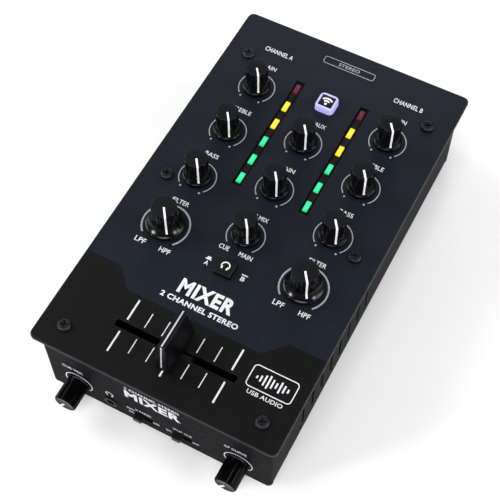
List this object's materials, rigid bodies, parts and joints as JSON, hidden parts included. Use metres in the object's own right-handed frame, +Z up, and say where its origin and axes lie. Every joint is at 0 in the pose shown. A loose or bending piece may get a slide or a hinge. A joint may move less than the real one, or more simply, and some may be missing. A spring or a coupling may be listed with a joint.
{
  "type": "dj mixer",
  "caption": "Compact two-channel DJ mixer with rotary controls, LED meters, crossfader, push buttons and slide switches in a folded metal case.",
  "frame": {"origin": "on the surface the feet rest on, under the centre of the faceplate", "axes": "+Z up, +Y towards the rear sockets, +X to the right seen from the front"},
  "size_m": [0.105, 0.1978, 0.062],
  "materials": {
    "case_paint": "fine-textured satin powder coat, dark charcoal",
    "black_screw": "black oxide, satin",
    "rubber": "matt moulded rubber",
    "spacer_metal": "plated, satin",
    "circuit_board": "solder mask, satin",
    "pot_metal": "plated sheet, satin",
    "knob_plastic": "glossy body with a satin cap",
    "shaft_metal": "turned, satin",
    "fader_steel": "plated, satin",
    "fader_carriage": "moulded acetal",
    "fader_cap": "fine-textured black plastic",
    "cue_button": "satin black plastic",
    "lit_button": "milky translucent plastic, lit from inside",
    "switch_body": "moulded",
    "meter_bezel": "matt black",
    "meter_led": "tinted lens; green, yellow and red",
    "jack_plastic": "moulded black",
    "slider_plastic": "moulded black",
    "rca_housing": "moulded black",
    "rca_metal": "nickel plate",
    "rca_insert": "white and red insulators",
    "usb_metal": "nickel-plated shell",
    "terminal_metal": "nickel-plated brass"
  },
  "bodies": {
    "case": {"board_pillars": "spacer_metal", "board_spacers": "spacer_metal", "bottom_tray": "case_paint", "button_switches": "switch_body", "chassis_screws": "black_screw", "control_board": "circuit_board", "crossfader_frame": "fader_steel", "crossfader_rails": "fader_steel", "faceplate": "case_paint", "faceplate_screws": "black_screw", "front_panel": "case_paint", "ground_terminal": "terminal_metal", "headphone_jack": "jack_plastic", "main_board": "circuit_board", "meter_bezels": "meter_bezel", "meter_leds": "meter_led", "pot_bodies": "pot_metal", "rca_housings": "rca_housing", "rca_inserts": "rca_insert", "rca_sleeves": "rca_metal", "rear_panel": "case_paint", "riser_board": "circuit_board", "rubber_feet": "rubber", "slide_switch_bodies": "switch_body", "usb_socket": "usb_metal"},
    "gain_a": {"gain_a_knob": "knob_plastic", "gain_a_shaft": "shaft_metal"},
    "treble_a": {"treble_a_knob": "knob_plastic", "treble_a_shaft": "shaft_metal"},
    "bass_a": {"bass_a_knob": "knob_plastic", "bass_a_shaft": "shaft_metal"},
    "filter_a": {"filter_a_knob": "knob_plastic", "filter_a_shaft": "shaft_metal"},
    "gain_b": {"gain_b_knob": "knob_plastic", "gain_b_shaft": "shaft_metal"},
    "treble_b": {"treble_b_knob": "knob_plastic", "treble_b_shaft": "shaft_metal"},
    "bass_b": {"bass_b_knob": "knob_plastic", "bass_b_shaft": "shaft_metal"},
    "filter_b": {"filter_b_knob": "knob_plastic", "filter_b_shaft": "shaft_metal"},
    "aux": {"aux_knob": "knob_plastic", "aux_shaft": "shaft_metal"},
    "main": {"main_knob": "knob_plastic", "main_shaft": "shaft_metal"},
    "mix": {"mix_knob": "knob_plastic", "mix_shaft": "shaft_metal"},
    "cue_volume": {"cue_volume_knob": "knob_plastic", "cue_volume_shaft": "shaft_metal"},
    "fader_curve": {"fader_curve_knob": "knob_plastic", "fader_curve_shaft": "shaft_metal"},
    "crossfader": {"crossfader_carriage": "fader_carriage", "crossfader_lever": "fader_steel", "crossfader_cap": "fader_cap"},
    "cue_button": {"cue_button": "cue_button"},
    "wireless_button": {"wireless_button": "lit_button"},
    "reverse_slider": {"reverse_slider": "slider_plastic"},
    "split_slider": {"split_slider": "slider_plastic"},
    "phono_a_slider": {"phono_a_slider": "slider_plastic"},
    "phono_b_slider": {"phono_b_slider": "slider_plastic"}
  },
  "joints": [
    {"name": "gain_a_turn", "type": "hinge", "parent": "case", "child": "gain_a", "pos_m": [-0.0306, 0.0539, 0.044], "axis": [0, 0, -1], "range_deg": [-290, 0]},
    {"name": "treble_a_turn", "type": "hinge", "parent": "case", "child": "treble_a", "pos_m": [-0.0306, 0.02795, 0.044], "axis": [0, 0, -1], "range_deg": [-290, 0]},
    {"name": "bass_a_turn", "type": "hinge", "parent": "case", "child": "bass_a", "pos_m": [-0.0306, 0.002, 0.044], "axis": [0, 0, -1], "range_deg": [-290, 0]},
    {"name": "filter_a_turn", "type": "hinge", "parent": "case", "child": "filter_a", "pos_m": [-0.0306, -0.02395, 0.044], "axis": [0, 0, -1], "range_deg": [-290, 0]},
    {"name": "gain_b_turn", "type": "hinge", "parent": "case", "child": "gain_b", "pos_m": [0.0306, 0.0539, 0.044], "axis": [0, 0, -1], "range_deg": [-290, 0]},
    {"name": "treble_b_turn", "type": "hinge", "parent": "case", "child": "treble_b", "pos_m": [0.0306, 0.02795, 0.044], "axis": [0, 0, -1], "range_deg": [-290, 0]},
    {"name": "bass_b_turn", "type": "hinge", "parent": "case", "child": "bass_b", "pos_m": [0.0306, 0.002, 0.044], "axis": [0, 0, -1], "range_deg": [-290, 0]},
    {"name": "filter_b_turn", "type": "hinge", "parent": "case", "child": "filter_b", "pos_m": [0.0306, -0.02395, 0.044], "axis": [0, 0, -1], "range_deg": [-290, 0]},
    {"name": "aux_turn", "type": "hinge", "parent": "case", "child": "aux", "pos_m": [0, 0.0368, 0.044], "axis": [0, 0, -1], "range_deg": [-290, 0]},
    {"name": "main_turn", "type": "hinge", "parent": "case", "child": "main", "pos_m": [0, 0.0109, 0.044], "axis": [0, 0, -1], "range_deg": [-290, 0]},
    {"name": "mix_turn", "type": "hinge", "parent": "case", "child": "mix", "pos_m": [0, -0.0139, 0.044], "axis": [0, 0, -1], "range_deg": [-290, 0]},
    {"name": "cue_volume_turn", "type": "hinge", "parent": "case", "child": "cue_volume", "pos_m": [-0.0357, -0.0878, 0.0134], "axis": [0, 1, 0], "range_deg": [0, 290]},
    {"name": "fader_curve_turn", "type": "hinge", "parent": "case", "child": "fader_curve", "pos_m": [0.0357, -0.0878, 0.0134], "axis": [0, 1, 0], "range_deg": [0, 290]},
    {"name": "crossfader_slide", "type": "slide", "parent": "case", "child": "crossfader", "axis": [1, 0, 0], "range_m": [-0.0225, 0.0225]},
    {"name": "cue_press", "type": "slide", "parent": "case", "child": "cue_button", "axis": [0, 0, -1], "range_m": [0, 0.0012]},
    {"name": "wireless_press", "type": "slide", "parent": "case", "child": "wireless_button", "axis": [0, 0, -1], "range_m": [0, 0.001], "stiffness_N_per_m": 400, "springref_m": -0.0005},
    {"name": "reverse_slide", "type": "slide", "parent": "case", "child": "reverse_slider", "axis": [1, 0, 0], "range_m": [0, 0.004]},
    {"name": "split_slide", "type": "slide", "parent": "case", "child": "split_slider", "axis": [1, 0, 0], "range_m": [0, 0.004]},
    {"name": "phono_a_slide", "type": "slide", "parent": "case", "child": "phono_a_slider", "axis": [-1, 0, 0], "range_m": [0, 0.004]},
    {"name": "phono_b_slide", "type": "slide", "parent": "case", "child": "phono_b_slider", "axis": [-1, 0, 0], "range_m": [0, 0.004]}
  ]
}
